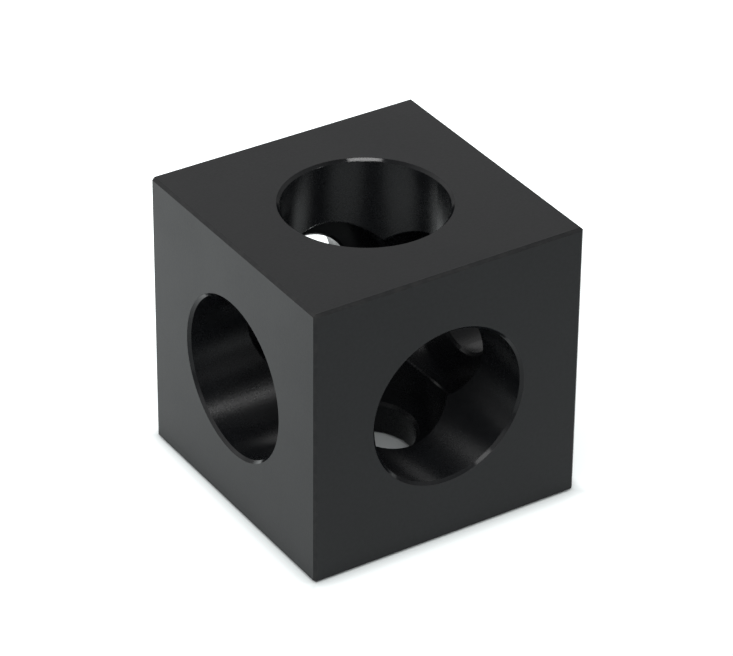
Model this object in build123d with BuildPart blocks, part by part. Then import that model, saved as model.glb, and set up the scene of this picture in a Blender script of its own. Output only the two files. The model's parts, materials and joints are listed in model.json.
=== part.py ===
from build123d import *
import os

# Three way corner cube for slotted aluminium profile, in millimetres.
# The origin is the middle of the cube, where the axes of its three stepped bores cross.
# Each bore opens wide on one face (-X, -Y and +Z) and crosses the other two. It ends at a
# ledge with a screw hole through it, and a profile's end butts against the ledge's outside.

# Cube
profile_width = 20.0  # the cube is as wide, as deep and as high as the profile that it joins
edge_break = 0.2  # flat on each outer edge

# Screw that holds a profile, dropped in through the wide bore (play is across the diameter)
screw_diameter = 6.0
screw_play = 1.0
screw_head_diameter = 10.0
screw_head_play = 1.0

# Stepped bores
ledge_thickness = 2.5  # metal between the screw's head and the end of the profile
rim_break = 0.2  # flat round each opening
crossing_break = 0.1  # flat along each edge where two wide bores cross

screw_hole_radius = (screw_diameter + screw_play) / 2
access_bore_radius = (screw_head_diameter + screw_head_play) / 2
access_bore_depth = profile_width - ledge_thickness

os.makedirs("parts", exist_ok=True)

with BuildPart() as corner_cube:
    # Block
    Box(profile_width, profile_width, profile_width)
    sides = corner_cube.faces()
    mouth_faces = [
        sides.sort_by(Axis.X)[0],
        sides.sort_by(Axis.Y)[0],
        sides.sort_by(Axis.Z)[-1],
    ]
    chamfer(corner_cube.edges(), length=edge_break)

    # One stepped bore down from the middle of each mouth face
    with Locations(*[Plane(face) for face in mouth_faces]):
        CounterBoreHole(
            radius=screw_hole_radius,
            counter_bore_radius=access_bore_radius,
            counter_bore_depth=access_bore_depth,
        )

    # Rim of every hole in a flat face: three mouths and both ends of three screw holes
    flat_faces = corner_cube.faces().filter_by(GeomType.PLANE)
    rims = [edge for face in flat_faces for wire in face.inner_wires() for edge in wire.edges()]
    chamfer(rims, length=rim_break)

    # Bores of equal radius cross along arcs of ellipses
    crossings = corner_cube.edges().filter_by(GeomType.ELLIPSE)
    chamfer(crossings, length=crossing_break)

corner_cube.part.label = "corner_cube"
export_step(corner_cube.part, "parts/corner_cube.step")
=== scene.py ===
import json
import math

import bmesh
import bpy
from bpy.props import FloatProperty, FloatVectorProperty, PointerProperty
from mathutils import Matrix, Vector


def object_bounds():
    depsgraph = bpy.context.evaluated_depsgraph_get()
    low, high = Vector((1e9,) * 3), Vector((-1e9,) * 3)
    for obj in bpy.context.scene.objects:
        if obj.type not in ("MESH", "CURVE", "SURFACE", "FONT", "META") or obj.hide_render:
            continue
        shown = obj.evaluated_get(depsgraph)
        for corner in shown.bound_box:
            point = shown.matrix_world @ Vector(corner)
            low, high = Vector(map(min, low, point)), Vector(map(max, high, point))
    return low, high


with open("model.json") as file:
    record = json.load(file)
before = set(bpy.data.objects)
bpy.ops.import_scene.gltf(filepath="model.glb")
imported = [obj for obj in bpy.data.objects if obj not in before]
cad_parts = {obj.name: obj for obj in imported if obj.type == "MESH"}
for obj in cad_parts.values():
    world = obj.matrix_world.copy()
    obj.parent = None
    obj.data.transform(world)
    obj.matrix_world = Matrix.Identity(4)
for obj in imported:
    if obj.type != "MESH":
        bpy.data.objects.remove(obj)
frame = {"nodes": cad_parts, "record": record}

# Three way corner cube for slotted aluminium profile, with its black anodised finish and a
# plain studio. Lengths are in metres and the origin is the middle of the cube. The wide bores
# open on -X, -Y and +Z, and the screw holes on +X, +Y and -Z.

bl_info = {
    "name": "Three way corner cube",
    "version": (1, 0, 0),
    "blender": (4, 5, 0),
    "location": "3D View > Sidebar > Corner cube",
    "description": "Gives a bored corner cube its black anodised finish and a plain studio",
    "category": "Material",
}

CUBE_NODE = "corner_cube"
FINISH_NAME = "satin_black_anodised"

CAD_LOW, CAD_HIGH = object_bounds()
CUBE_CENTRE = (CAD_LOW + CAD_HIGH) / 2
HALF_WIDTH = (CAD_HIGH.x - CAD_LOW.x) / 2
MILLIMETRE = 0.001

# How the regions of the cube are told apart
FACE_SPAN = (-0.00003, -0.00001)  # from the walls, over which an outer face begins
RIM_BLUR = 0.00001  # half the width over which a rim begins
EDGE_BLUR = 0.0001  # half the width over which the wear of an edge begins
WALL_TOLERANCE = 0.00004  # a bored wall may be this far from its radius
LEDGE_TOLERANCE = 0.00002  # a ledge may be this far from its level

# Anodised layer. The counts are grains in each metre.
LAYER_IOR = 1.29
CLOUD_COUNT = 160.0  # broad clouds in the dye and the gloss
SPECKLE_COUNT = 3800.0  # fine flecks in the dye
WEAR_COUNT = 1400.0  # worn patches along the edges
CHATTER_COUNT = 900.0  # uneven feed of the boring tool
CHATTER_TURN = 5.0  # radians by which the chatter shifts the rings
CLOUD_SPAN = (0.3, 0.7)  # of the noise, where the clouds change
CLOUD_TONE = (0.92, 1.10)  # times the dye's colour
SPECKLE_SPAN = (0.25, 0.75)
SPECKLE_TONE = (0.84, 1.16)  # times the dye's colour
WEAR_SPAN = (0.42, 0.66)
WEAR_SHARE = (0.15, 0.8)  # of the worn colour, in whole and in worn patches
FACE_SPREAD = 0.02  # of the roughness, either way
BORED_SPREAD = 0.03
GRAIN_SPREAD = 0.12  # of the roughness, from the bottom of the grain to its top

# Floor and its painted glow. The glow hides the floor's shade close to the cube and sets how
# bright the floor looks in the cube's faces. The spans of the glow start at the walls of the
# cube, but for the one along Y.
FLOOR_DROP = 0.00001  # keeps the floor clear of the cube's underside
PAINTED_CONTACT_SHADOW = (-0.0002, 0.0009)  # over which the glow begins beside the cube, which paints a narrow contact shadow
NEAR_TO_FAR = (0.003, 0.022)  # in front of the cube
BEHIND_TO_FAR = (0.028, 0.075)  # behind it
FRONT_TO_BACK = (-0.010, 0.030)  # along Y, from the middle of the cube
PAINTED_GLOW_COLOUR = (0.96, 1.0, 1.0, 1.0)

# Room, by the height of a direction: 0 is level and 1 is straight above
FLOOR_TO_WALLS = (0.1, 0.45)
WALLS_TO_CEILING = (0.50, 0.95)
LEFT_OF_ROOM = (-0.97, 0.24, 0.0)
ROOM_COLOUR = (1.0, 1.0, 1.0, 1.0)

# Lamps: degrees from +X towards +Y, degrees above level, width and length. Each faces the
# cube, and its power is the studio's setting of the same name.
LAMP_DISTANCE = 0.6
LAMPS = {
    "front_lamp": (-121.0, 61.0, 0.32, 0.05),
    "low_lamp": (-106.0, 41.0, 0.16, 0.16),
    "right_lamp": (-35.0, 57.0, 0.12, 0.12),
    "back_lamp": (112.0, 52.0, 0.22, 0.22),
}

# Camera
SENSOR_WIDTH = 36.0  # in millimetres
NEAREST_SEEN = 0.01
FARTHEST_SEEN = 20.0


def mount(name):
    """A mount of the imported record: where the cube meets a screw or a profile."""
    for entry in frame["record"]["mounts"]:
        if entry["name"] == name:
            return entry
    raise RuntimeError(f"the packed record has no mount named {name}")


ACCESS_RADIUS = mount("access_bore_z")["dims"]["r_mm"] * MILLIMETRE
SCREW_RADIUS = mount("screw_hole_z")["dims"]["r_mm"] * MILLIMETRE
LEDGE_PLACE = abs(mount("head_seat_z")["pos_m"][2])
RIM_DEPTH = HALF_WIDTH - abs(mount("access_bore_z")["pos_m"][2])


def from_walls(span):
    """A span of distances from the cube's walls, as distances from its middle plane."""
    return tuple(HALF_WIDTH + distance for distance in span)


def around(place, blur):
    """The span from a blur before a place to a blur after it."""
    return place - blur, place + blur


class CornerCubeFinish(bpy.types.PropertyGroup):
    """What the anodiser and the machinist leave on the cube."""

    dye_colour: FloatVectorProperty(
        name="Dye colour",
        description="Colour of the black dye in the anodised layer",
        subtype="COLOR",
        size=3,
        min=0.0,
        max=1.0,
        default=(0.0054, 0.0059, 0.0067),
    )
    worn_colour: FloatVectorProperty(
        name="Worn edge colour",
        description="Colour where handling thins the layer along an edge",
        subtype="COLOR",
        size=3,
        min=0.0,
        max=1.0,
        default=(0.014, 0.014, 0.014),
    )
    face_roughness: FloatProperty(
        name="Face roughness",
        description="Satin of the etched outer faces",
        subtype="FACTOR",
        min=0.0,
        max=1.0,
        default=0.38,
    )
    bored_roughness: FloatProperty(
        name="Bored roughness",
        description="Gloss of the bored walls, which the etch dulls less",
        subtype="FACTOR",
        min=0.0,
        max=1.0,
        default=0.27,
    )
    rim_roughness: FloatProperty(
        name="Rim roughness",
        description="Gloss of the small breaks round the bores",
        subtype="FACTOR",
        min=0.0,
        max=1.0,
        default=0.11,
    )
    rim_relief: FloatProperty(
        name="Rim relief",
        description="Share of the etched relief that the small breaks keep",
        subtype="FACTOR",
        min=0.0,
        max=1.0,
        default=0.15,
    )
    grain_size: FloatProperty(
        name="Etch grain",
        description="Width of one grain of the etched surface",
        subtype="DISTANCE",
        unit="LENGTH",
        precision=6,
        min=0.00001,
        default=0.00012,
    )
    grain_depth: FloatProperty(
        name="Etch depth",
        description="Depth of the etched grain",
        subtype="DISTANCE",
        unit="LENGTH",
        precision=6,
        min=0.0,
        default=0.0000036,
    )
    feed_pitch: FloatProperty(
        name="Boring feed",
        description="Distance between two rings that the boring tool leaves",
        subtype="DISTANCE",
        unit="LENGTH",
        precision=6,
        min=0.00001,
        default=0.00010,
    )
    feed_depth: FloatProperty(
        name="Boring ring depth",
        description="Depth of the boring tool's rings",
        subtype="DISTANCE",
        unit="LENGTH",
        precision=6,
        min=0.0,
        default=0.0000010,
    )


class CornerCubeStudio(bpy.types.PropertyGroup):
    """Floor, lamps and camera round the cube."""

    floor_width: FloatProperty(
        name="Floor width",
        description="Width of the pale floor",
        subtype="DISTANCE",
        unit="LENGTH",
        min=0.1,
        default=6.0,
    )
    floor_colour: FloatVectorProperty(
        name="Floor colour",
        description="Colour of the floor",
        subtype="COLOR",
        size=3,
        min=0.0,
        max=1.0,
        default=(0.765, 0.80, 0.80),
    )
    # Painted glow close in front of the cube, which hides the floor's shade there.
    near_glow: FloatProperty(
        name="Glow near the cube",
        description="Painted glow of the floor close in front of the cube",
        min=0.0,
        default=0.45,
    )
    # Painted glow farther in front, which sets how bright the floor looks in the -Y face.
    far_glow: FloatProperty(
        name="Glow in front",
        description="Painted glow of the floor farther in front",
        min=0.0,
        default=0.22,
    )
    # Painted glow behind the cube, which brightens the floor's reflection in the -X face.
    back_glow: FloatProperty(
        name="Glow behind",
        description="Painted glow of the floor behind the cube",
        min=0.0,
        default=0.84,
    )
    # Painted glow far behind the cube, kept weaker so that the rims reflect less of it.
    far_back_glow: FloatProperty(
        name="Glow far behind",
        description="Painted glow of the floor farther behind",
        min=0.0,
        default=0.30,
    )
    low_light: FloatProperty(
        name="Low room light",
        description="Strength of the room's light at floor level",
        min=0.0,
        default=0.42,
    )
    wall_light: FloatProperty(
        name="Wall light",
        description="Strength of the room's light half way up its walls",
        min=0.0,
        default=1.18,
    )
    overhead_share: FloatProperty(
        name="Overhead share",
        description="Light from straight above, as a share of the wall light",
        subtype="FACTOR",
        min=0.0,
        max=1.0,
        default=0.20,
    )
    side_share: FloatProperty(
        name="Brighter left",
        description="How much brighter the room is on its left, as a share",
        subtype="FACTOR",
        min=0.0,
        max=1.0,
        default=0.45,
    )
    front_lamp: FloatProperty(
        name="Front lamp",
        description="Power of the soft lamp above the camera",
        subtype="POWER",
        unit="POWER",
        min=0.0,
        default=0.9,
    )
    low_lamp: FloatProperty(
        name="Low lamp",
        description="Power of the soft lamp beside the camera",
        subtype="POWER",
        unit="POWER",
        min=0.0,
        default=0.36,
    )
    right_lamp: FloatProperty(
        name="Right lamp",
        description="Power of the soft lamp on the right",
        subtype="POWER",
        unit="POWER",
        min=0.0,
        default=0.42,
    )
    back_lamp: FloatProperty(
        name="Back lamp",
        description="Power of the soft lamp behind the cube",
        subtype="POWER",
        unit="POWER",
        min=0.0,
        default=0.30,
    )
    lens: FloatProperty(
        name="Lens",
        description="Focal length of the camera in millimetres",
        min=10.0,
        default=190.1,
    )
    view_distance: FloatProperty(
        name="View distance",
        description="From the camera to the middle of the cube",
        subtype="DISTANCE",
        unit="LENGTH",
        min=0.01,
        default=0.2513,
    )
    view_turn: FloatProperty(
        name="View turn",
        description="How far the camera stands round the cube from the -Y face",
        subtype="ANGLE",
        unit="ROTATION",
        default=math.radians(-32.77),
    )
    view_height: FloatProperty(
        name="View height",
        description="How far the camera looks down",
        subtype="ANGLE",
        unit="ROTATION",
        default=math.radians(32.2),
    )
    view_roll: FloatProperty(
        name="View roll",
        description="How far the camera is tipped to one side",
        subtype="ANGLE",
        unit="ROTATION",
        default=math.radians(0.52),
    )
    aim_right: FloatProperty(
        name="Aim to the right",
        description="How far the camera aims to the right of the cube's middle",
        subtype="DISTANCE",
        unit="LENGTH",
        precision=6,
        default=0.000136,
    )
    aim_up: FloatProperty(
        name="Aim above",
        description="How far the camera aims above the cube's middle",
        subtype="DISTANCE",
        unit="LENGTH",
        precision=6,
        default=0.000434,
    )


class NodeBench:
    """Places shader nodes in one tree and wires them up.

    The sockets of a Mix node share their names, so they are told apart by number.
    """

    def __init__(self, tree):
        self.tree = tree
        tree.nodes.clear()

    def add(self, kind, label, **settings):
        """A new node with its label and settings."""
        made = self.tree.nodes.new(kind)
        made.label = label
        for name, value in settings.items():
            setattr(made, name, value)
        return made

    def feed(self, socket, value):
        """Gives an input socket another node's output, or a plain value."""
        if isinstance(value, bpy.types.NodeSocket):
            self.tree.links.new(value, socket)
        elif value is not None:
            socket.default_value = value

    def sum_of(self, label, operation, first, second=None, third=None, clamp=False):
        """Output of a Math node."""
        made = self.add("ShaderNodeMath", label, operation=operation, use_clamp=clamp)
        for socket, value in zip(made.inputs, (first, second, third)):
            self.feed(socket, value)
        return made.outputs["Value"]

    def vector_of(self, label, operation, first, second=None, output="Vector"):
        """Output of a Vector Math node."""
        made = self.add("ShaderNodeVectorMath", label, operation=operation)
        self.feed(made.inputs[0], first)
        self.feed(made.inputs[1], second)
        return made.outputs[output]

    def ramp(self, label, value, span, results=(0.0, 1.0), smooth=True):
        """A value led over a span from the first result to the second, and held beyond it."""
        made = self.add("ShaderNodeMapRange", label)
        made.interpolation_type = "SMOOTHSTEP" if smooth else "LINEAR"
        made.clamp = True
        self.feed(made.inputs["Value"], value)
        self.feed(made.inputs["From Min"], span[0])
        self.feed(made.inputs["From Max"], span[1])
        self.feed(made.inputs["To Min"], results[0])
        self.feed(made.inputs["To Max"], results[1])
        return made.outputs["Result"]

    def blend(self, label, share, first, second):
        """Numbers mixed by a share."""
        made = self.add("ShaderNodeMix", label, data_type="FLOAT")
        self.feed(made.inputs[0], share)
        self.feed(made.inputs[2], first)
        self.feed(made.inputs[3], second)
        return made.outputs[0]

    def blend_colour(self, label, share, first, second):
        """Colours mixed by a share."""
        made = self.add("ShaderNodeMix", label, data_type="RGBA")
        self.feed(made.inputs[0], share)
        self.feed(made.inputs[6], first)
        self.feed(made.inputs[7], second)
        return made.outputs[2]

    def noise(self, label, vector, per_metre, detail, roughness=0.5):
        """Noise from 0 to 1 with a number of grains in each metre."""
        made = self.add("ShaderNodeTexNoise", label, noise_dimensions="3D")
        self.feed(made.inputs["Vector"], vector)
        self.feed(made.inputs["Scale"], per_metre)
        self.feed(made.inputs["Detail"], detail)
        self.feed(made.inputs["Roughness"], roughness)
        return made.outputs["Fac"]


def cube_regions(bench):
    """Shares that tell one region of the cube from another by where a point lies."""
    place = bench.add("ShaderNodeTexCoord", "Where on the cube").outputs["Object"]
    size = bench.vector_of("Distance from each middle plane", "ABSOLUTE", place)
    signed = bench.add("ShaderNodeSeparateXYZ", "Signed place")
    bench.feed(signed.inputs[0], place)
    split = bench.add("ShaderNodeSeparateXYZ", "Place")
    bench.feed(split.inputs[0], size)
    x, y, z = split.outputs
    highest = bench.sum_of("Higher of X and Y", "MAXIMUM", x, y)
    highest = bench.sum_of("Highest of the three", "MAXIMUM", highest, z)
    lowest = bench.sum_of("Lower of X and Y", "MINIMUM", x, y)
    lowest = bench.sum_of("Lowest of the three", "MINIMUM", lowest, z)
    total = bench.sum_of("X and Y", "ADD", x, y)
    total = bench.sum_of("X, Y and Z", "ADD", total, z)
    middle = bench.sum_of("Without the highest", "SUBTRACT", total, highest)
    middle = bench.sum_of("Middle of the three", "SUBTRACT", middle, lowest)
    skin = HALF_WIDTH - RIM_DEPTH
    return {
        "place": place,
        "signed": signed.outputs,
        "x": x,
        "y": y,
        "z": z,
        "outside": bench.ramp("Outer face", highest, from_walls(FACE_SPAN)),
        "rim": bench.ramp("Rims and outer edges", highest, around(skin, RIM_BLUR)),
        "edge": bench.ramp("Along an outer edge", middle, around(skin, EDGE_BLUR)),
    }


def bore_wall(bench, regions, axis):
    """Share that is 1 on the walls of one stepped bore, and the distance from its axis."""
    across = [name for name in "xyz" if name != axis]
    first, second = (regions[name] for name in across)
    first = bench.sum_of(f"{across[0]} squared", "MULTIPLY", first, first)
    radius = bench.sum_of(f"Round {axis}", "MULTIPLY_ADD", second, second, first)
    radius = bench.sum_of(f"Distance from {axis}", "SQRT", radius)
    wide = bench.sum_of(
        f"Wide bore {axis}", "COMPARE", radius, ACCESS_RADIUS, WALL_TOLERANCE
    )
    narrow = bench.sum_of(
        f"Screw hole {axis}", "COMPARE", radius, SCREW_RADIUS, WALL_TOLERANCE
    )
    wall = bench.sum_of(f"Walls of {axis}", "MAXIMUM", wide, narrow)
    return wall, radius


def tool_rings(bench, regions, finish):
    """Height of the boring tool's rings, which stack along each bore and circle each ledge."""
    heights = None
    chatter = bench.noise(
        "Chatter of the tool", regions["place"], CHATTER_COUNT, detail=2.0, roughness=0.6
    )
    turns_per_metre = math.tau / finish.feed_pitch
    for number, axis in enumerate("xyz"):
        wall, radius = bore_wall(bench, regions, axis)
        along = regions["signed"][number]
        turns = bench.sum_of(f"Turns along {axis}", "MULTIPLY", along, turns_per_metre)
        turns = bench.sum_of(
            f"Uneven feed {axis}", "MULTIPLY_ADD", chatter, CHATTER_TURN, turns
        )
        ring = bench.sum_of(f"Rings of {axis}", "SINE", turns)
        ring = bench.sum_of(f"Rings on the walls of {axis}", "MULTIPLY", ring, wall)
        ledge = bench.sum_of(
            f"Level of the ledge {axis}", "COMPARE", regions[axis], LEDGE_PLACE,
            LEDGE_TOLERANCE,
        )
        within = bench.sum_of(f"Within the bore {axis}", "LESS_THAN", radius, ACCESS_RADIUS)
        ledge = bench.sum_of(f"Ledge {axis}", "MULTIPLY", ledge, within)
        circles = bench.sum_of(f"Circles round {axis}", "MULTIPLY", radius, turns_per_metre)
        circles = bench.sum_of(f"Facing rings {axis}", "SINE", circles)
        circles = bench.sum_of(f"Rings on the ledge {axis}", "MULTIPLY", circles, ledge)
        marks = bench.sum_of(f"Marks of {axis}", "ADD", ring, circles)
        if heights is None:
            heights = marks
        else:
            heights = bench.sum_of("Marks together", "ADD", heights, marks)
    return heights


def anodised_material(finish):
    """Black anodised aluminium: satin etched faces, glossier bored walls and thinner edges."""
    material = bpy.data.materials.new(FINISH_NAME)
    material.use_nodes = True
    bench = NodeBench(material.node_tree)
    regions = cube_regions(bench)
    place = regions["place"]

    grain_count = 1.0 / finish.grain_size
    grain = bench.noise("Etched grain", place, grain_count, detail=3.0, roughness=0.55)
    cloud = bench.noise("Uneven dye", place, CLOUD_COUNT, detail=3.0)
    speckle = bench.noise("Fine speckle of the dye", place, SPECKLE_COUNT, detail=1.0)

    tone = bench.ramp("Dye, thin to full", cloud, CLOUD_SPAN, CLOUD_TONE)
    fleck = bench.ramp("Dye flecks", speckle, SPECKLE_SPAN, SPECKLE_TONE)
    tone = bench.sum_of("Dye tone", "MULTIPLY", tone, fleck)
    dye = bench.add("ShaderNodeVectorMath", "Toned dye", operation="SCALE")
    bench.feed(dye.inputs[0], tuple(finish.dye_colour))
    bench.feed(dye.inputs["Scale"], tone)
    wear = bench.noise("Patchy wear", place, WEAR_COUNT, detail=2.0, roughness=0.6)
    wear = bench.ramp("Wear in patches", wear, WEAR_SPAN, WEAR_SHARE)
    wear = bench.sum_of("Wear on the edges", "MULTIPLY", wear, regions["edge"])
    colour = bench.blend_colour(
        "Dye and worn edges", wear, dye.outputs[0], (*finish.worn_colour, 1.0)
    )

    face_gloss = bench.ramp(
        "Satin of the faces", cloud, CLOUD_SPAN, around(finish.face_roughness, FACE_SPREAD)
    )
    bored_gloss = bench.ramp(
        "Gloss of the bores", cloud, CLOUD_SPAN, around(finish.bored_roughness, BORED_SPREAD)
    )
    gloss = bench.blend("Bores and rims", regions["rim"], bored_gloss, finish.rim_roughness)
    satin = bench.sum_of("Faces and edges", "MAXIMUM", regions["outside"], regions["edge"])
    gloss = bench.blend("Bores and faces", satin, gloss, face_gloss)
    gloss = bench.sum_of("Grain in the gloss", "MULTIPLY_ADD", grain, GRAIN_SPREAD, gloss)
    gloss = bench.sum_of("Gloss", "SUBTRACT", gloss, GRAIN_SPREAD / 2, clamp=True)

    rings = tool_rings(bench, regions, finish)
    rims = bench.sum_of("Rims alone", "SUBTRACT", regions["rim"], satin, clamp=True)
    relief = bench.ramp(
        "Less relief on the rims", rims, (0.0, 1.0), (1.0, finish.rim_relief)
    )
    etched = bench.add("ShaderNodeBump", "Etched relief")
    bench.feed(etched.inputs["Strength"], relief)
    bench.feed(etched.inputs["Distance"], finish.grain_depth)
    bench.feed(etched.inputs["Height"], grain)
    bored = bench.add("ShaderNodeBump", "Tool marks")
    bench.feed(bored.inputs["Strength"], 1.0)
    bench.feed(bored.inputs["Distance"], finish.feed_depth)
    bench.feed(bored.inputs["Height"], rings)
    bench.feed(bored.inputs["Normal"], etched.outputs["Normal"])

    shader = bench.add("ShaderNodeBsdfPrincipled", "Anodised layer")
    bench.feed(shader.inputs["Base Color"], colour)
    bench.feed(shader.inputs["Roughness"], gloss)
    bench.feed(shader.inputs["Normal"], bored.outputs["Normal"])
    shader.inputs["Metallic"].default_value = 0.0
    shader.inputs["IOR"].default_value = LAYER_IOR
    output = bench.add("ShaderNodeOutputMaterial", "Cube")
    bench.feed(output.inputs["Surface"], shader.outputs["BSDF"])
    return material


def floor_material(studio):
    """Pale matt floor with a painted glow that only the camera, gloss and glass see. The glow is
    left out under and beside the cube, which paints a narrow contact shadow. It is stronger
    behind the cube than in front, which paints brighter reflections of the floor in the -X face
    than in the -Y face.
    """
    material = bpy.data.materials.new("pale_floor")
    material.use_nodes = True
    bench = NodeBench(material.node_tree)
    place = bench.add("ShaderNodeTexCoord", "Where on the floor").outputs["Object"]
    size = bench.vector_of("Distance from the cube's middle", "ABSOLUTE", place)
    split = bench.add("ShaderNodeSeparateXYZ", "Floor place")
    bench.feed(split.inputs[0], size)
    out = bench.sum_of("Squares round the cube", "MAXIMUM", split.outputs[0], split.outputs[1])
    # Painted shadow: the glow is left out under the cube and close beside it, which draws a
    # narrow contact shadow along its bottom edges.
    clear = bench.ramp(
        "Past the painted contact shadow", out, from_walls(PAINTED_CONTACT_SHADOW), smooth=False
    )
    path = bench.add("ShaderNodeLightPath", "What looks at the floor")
    seen = bench.sum_of(
        "Camera or gloss", "MAXIMUM", path.outputs["Is Camera Ray"], path.outputs["Is Glossy Ray"]
    )
    seen = bench.sum_of(
        "Camera, gloss or glass", "MAXIMUM", seen, path.outputs["Is Transmission Ray"]
    )
    signed = bench.add("ShaderNodeSeparateXYZ", "Signed floor place")
    bench.feed(signed.inputs[0], place)
    # Painted light: a glow without a lamp that the camera and gloss see. Close in front it hides
    # the floor's shade, and in front and behind it sets the floor's reflections in the faces.
    glow = bench.ramp(
        "Near to far", out, from_walls(NEAR_TO_FAR), (studio.near_glow, studio.far_glow)
    )
    depth = bench.ramp("Front to back", signed.outputs["Y"], FRONT_TO_BACK)
    behind = bench.ramp(
        "Behind, near to far", out, from_walls(BEHIND_TO_FAR),
        (studio.back_glow, studio.far_back_glow),
    )
    glow = bench.blend("More behind", depth, glow, behind)
    glow = bench.sum_of("Painted glow of the floor", "MULTIPLY", glow, clear)
    glow = bench.sum_of("Seen glow", "MULTIPLY", glow, seen)
    shader = bench.add("ShaderNodeBsdfPrincipled", "Matt floor")
    bench.feed(shader.inputs["Base Color"], (*studio.floor_colour, 1.0))
    shader.inputs["Roughness"].default_value = 1.0
    shader.inputs["Specular IOR Level"].default_value = 0.0
    shader.inputs["Emission Color"].default_value = PAINTED_GLOW_COLOUR
    bench.feed(shader.inputs["Emission Strength"], glow)
    output = bench.add("ShaderNodeOutputMaterial", "Floor")
    bench.feed(output.inputs["Surface"], shader.outputs["BSDF"])
    return material


def studio_world(studio):
    """A pale room, dimmer at floor level, straight above and on its right."""
    world = bpy.data.worlds.new("studio_room")
    world.use_nodes = True
    bench = NodeBench(world.node_tree)
    towards = bench.add("ShaderNodeTexCoord", "Which way").outputs["Generated"]
    split = bench.add("ShaderNodeSeparateXYZ", "Direction")
    bench.feed(split.inputs[0], towards)
    height = split.outputs["Z"]
    rise = bench.ramp(
        "Floor level to the walls", height, FLOOR_TO_WALLS,
        (studio.low_light, studio.wall_light),
    )
    overhead = bench.ramp(
        "Straight above", height, WALLS_TO_CEILING, (1.0, studio.overhead_share)
    )
    room = bench.sum_of("Light by height", "MULTIPLY", rise, overhead)
    side = bench.vector_of(
        "Towards the left", "DOT_PRODUCT", towards, LEFT_OF_ROOM, output="Value"
    )
    side = bench.sum_of("Brighter left", "MULTIPLY_ADD", side, studio.side_share, 1.0)
    room = bench.sum_of("Light of the room", "MULTIPLY", room, side)
    shine = bench.add("ShaderNodeBackground", "Room")
    bench.feed(shine.inputs["Color"], ROOM_COLOUR)
    bench.feed(shine.inputs["Strength"], room)
    output = bench.add("ShaderNodeOutputWorld", "World")
    bench.feed(output.inputs["Surface"], shine.outputs["Background"])
    return world


def round_the_cube(turn, height, distance):
    """A place seen from the cube in a direction: degrees from +X towards +Y, and above level."""
    turn, height = math.radians(turn), math.radians(height)
    away = Vector((
        math.cos(turn) * math.cos(height),
        math.sin(turn) * math.cos(height),
        math.sin(height),
    ))
    return CUBE_CENTRE + distance * away


def facing(place, target):
    """Rotation that points an object's -Z from place to target, with +Y up."""
    return (target - place).to_track_quat("-Z", "Y").to_matrix().to_4x4()


def soft_lamp(name, place, power, width, height):
    """A rectangular soft lamp that faces the cube."""
    data = bpy.data.lights.new(name, "AREA")
    data.shape = "RECTANGLE"
    data.size = width
    data.size_y = height
    data.energy = power
    lamp = bpy.data.objects.new(name, data)
    lamp.matrix_world = Matrix.Translation(place) @ facing(place, CUBE_CENTRE)
    bpy.context.scene.collection.objects.link(lamp)


def studio_camera(studio):
    """The camera, which looks down on the -X, -Y and +Z faces."""
    turn = studio.view_turn
    height = studio.view_height
    back = Vector((
        math.sin(turn) * math.cos(height),
        -math.cos(turn) * math.cos(height),
        math.sin(height),
    ))
    level = Vector((0.0, 0.0, 1.0)).cross(back).normalized()
    upright = back.cross(level)
    cosine, sine = math.cos(studio.view_roll), math.sin(studio.view_roll)
    right = cosine * level + sine * upright
    up = -sine * level + cosine * upright
    aim = CUBE_CENTRE + studio.aim_right * right + studio.aim_up * up
    place = aim + studio.view_distance * back
    turned = Matrix((right, up, back)).transposed().to_4x4()
    data = bpy.data.cameras.new("studio_camera")
    data.lens = studio.lens
    data.sensor_width = SENSOR_WIDTH
    data.clip_start = NEAREST_SEEN
    data.clip_end = FARTHEST_SEEN
    camera = bpy.data.objects.new("studio_camera", data)
    camera.matrix_world = Matrix.Translation(place) @ turned
    bpy.context.scene.collection.objects.link(camera)
    bpy.context.scene.camera = camera


def studio_floor(studio):
    """A flat square floor just under the cube."""
    shape = bmesh.new()
    bmesh.ops.create_grid(shape, x_segments=1, y_segments=1, size=studio.floor_width / 2)
    drop = Vector((0.0, 0.0, CAD_LOW.z - FLOOR_DROP))
    bmesh.ops.translate(shape, verts=shape.verts, vec=drop)
    mesh = bpy.data.meshes.new("pale_floor")
    shape.to_mesh(mesh)
    shape.free()
    floor = bpy.data.objects.new("pale_floor", mesh)
    mesh.materials.append(floor_material(studio))
    bpy.context.scene.collection.objects.link(floor)


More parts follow.
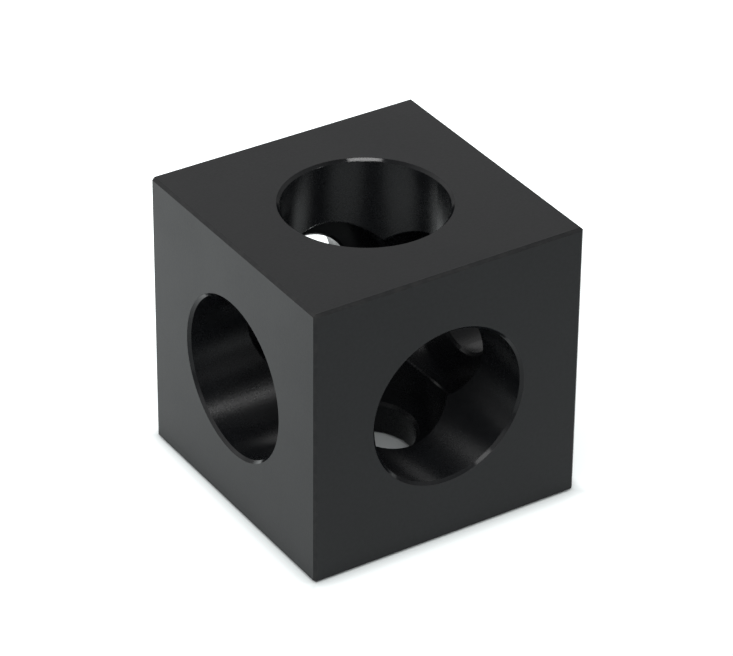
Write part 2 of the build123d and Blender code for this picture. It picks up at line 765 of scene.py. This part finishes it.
class CORNERCUBE_OT_finish_cube(bpy.types.Operator):
    """Give the corner cube its black anodised finish"""

    bl_idname = "corner_cube.finish_cube"
    bl_label = "Finish the cube"
    bl_options = {"REGISTER", "UNDO"}

    def execute(self, context):
        cube = frame["nodes"].get(CUBE_NODE)
        if cube is None:
            raise RuntimeError(f"the packed model has no node named {CUBE_NODE}")
        material = anodised_material(context.scene.corner_cube_finish)
        for holder in cube.material_slots:
            holder.material = material
        return {"FINISHED"}


class CORNERCUBE_OT_set_stage(bpy.types.Operator):
    """Set up the floor, the lamps, the room and the camera"""

    bl_idname = "corner_cube.set_stage"
    bl_label = "Set the stage"
    bl_options = {"REGISTER", "UNDO"}

    def execute(self, context):
        studio = context.scene.corner_cube_studio
        studio_floor(studio)
        context.scene.world = studio_world(studio)
        for name, (turn, height, width, length) in LAMPS.items():
            place = round_the_cube(turn, height, LAMP_DISTANCE)
            soft_lamp(name, place, getattr(studio, name), width, length)
        studio_camera(studio)
        context.scene.view_settings.view_transform = "Standard"
        return {"FINISHED"}


class CORNERCUBE_PT_sidebar(bpy.types.Panel):
    """Finish and studio of the corner cube"""

    bl_idname = "CORNERCUBE_PT_sidebar"
    bl_label = "Corner cube"
    bl_space_type = "VIEW_3D"
    bl_region_type = "UI"
    bl_category = "Corner cube"

    def draw(self, context):
        layout = self.layout
        finish = context.scene.corner_cube_finish
        studio = context.scene.corner_cube_studio
        for group, operator in (
            (finish, CORNERCUBE_OT_finish_cube),
            (studio, CORNERCUBE_OT_set_stage),
        ):
            box = layout.box()
            for name in group.bl_rna.properties.keys():
                if name not in ("rna_type", "name"):
                    box.prop(group, name)
            box.operator(operator.bl_idname)


CLASSES = (
    CornerCubeFinish,
    CornerCubeStudio,
    CORNERCUBE_OT_finish_cube,
    CORNERCUBE_OT_set_stage,
    CORNERCUBE_PT_sidebar,
)


def register():
    """Add the settings, the operators and the panel."""
    for item in CLASSES:
        bpy.utils.register_class(item)
    bpy.types.Scene.corner_cube_finish = PointerProperty(type=CornerCubeFinish)
    bpy.types.Scene.corner_cube_studio = PointerProperty(type=CornerCubeStudio)


def unregister():
    """Take them away again."""
    del bpy.types.Scene.corner_cube_studio
    del bpy.types.Scene.corner_cube_finish
    for item in reversed(CLASSES):
        bpy.utils.unregister_class(item)


def main():
    """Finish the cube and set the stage."""
    register()
    bpy.ops.corner_cube.finish_cube()
    bpy.ops.corner_cube.set_stage()


if __name__ == "__main__":
    main()
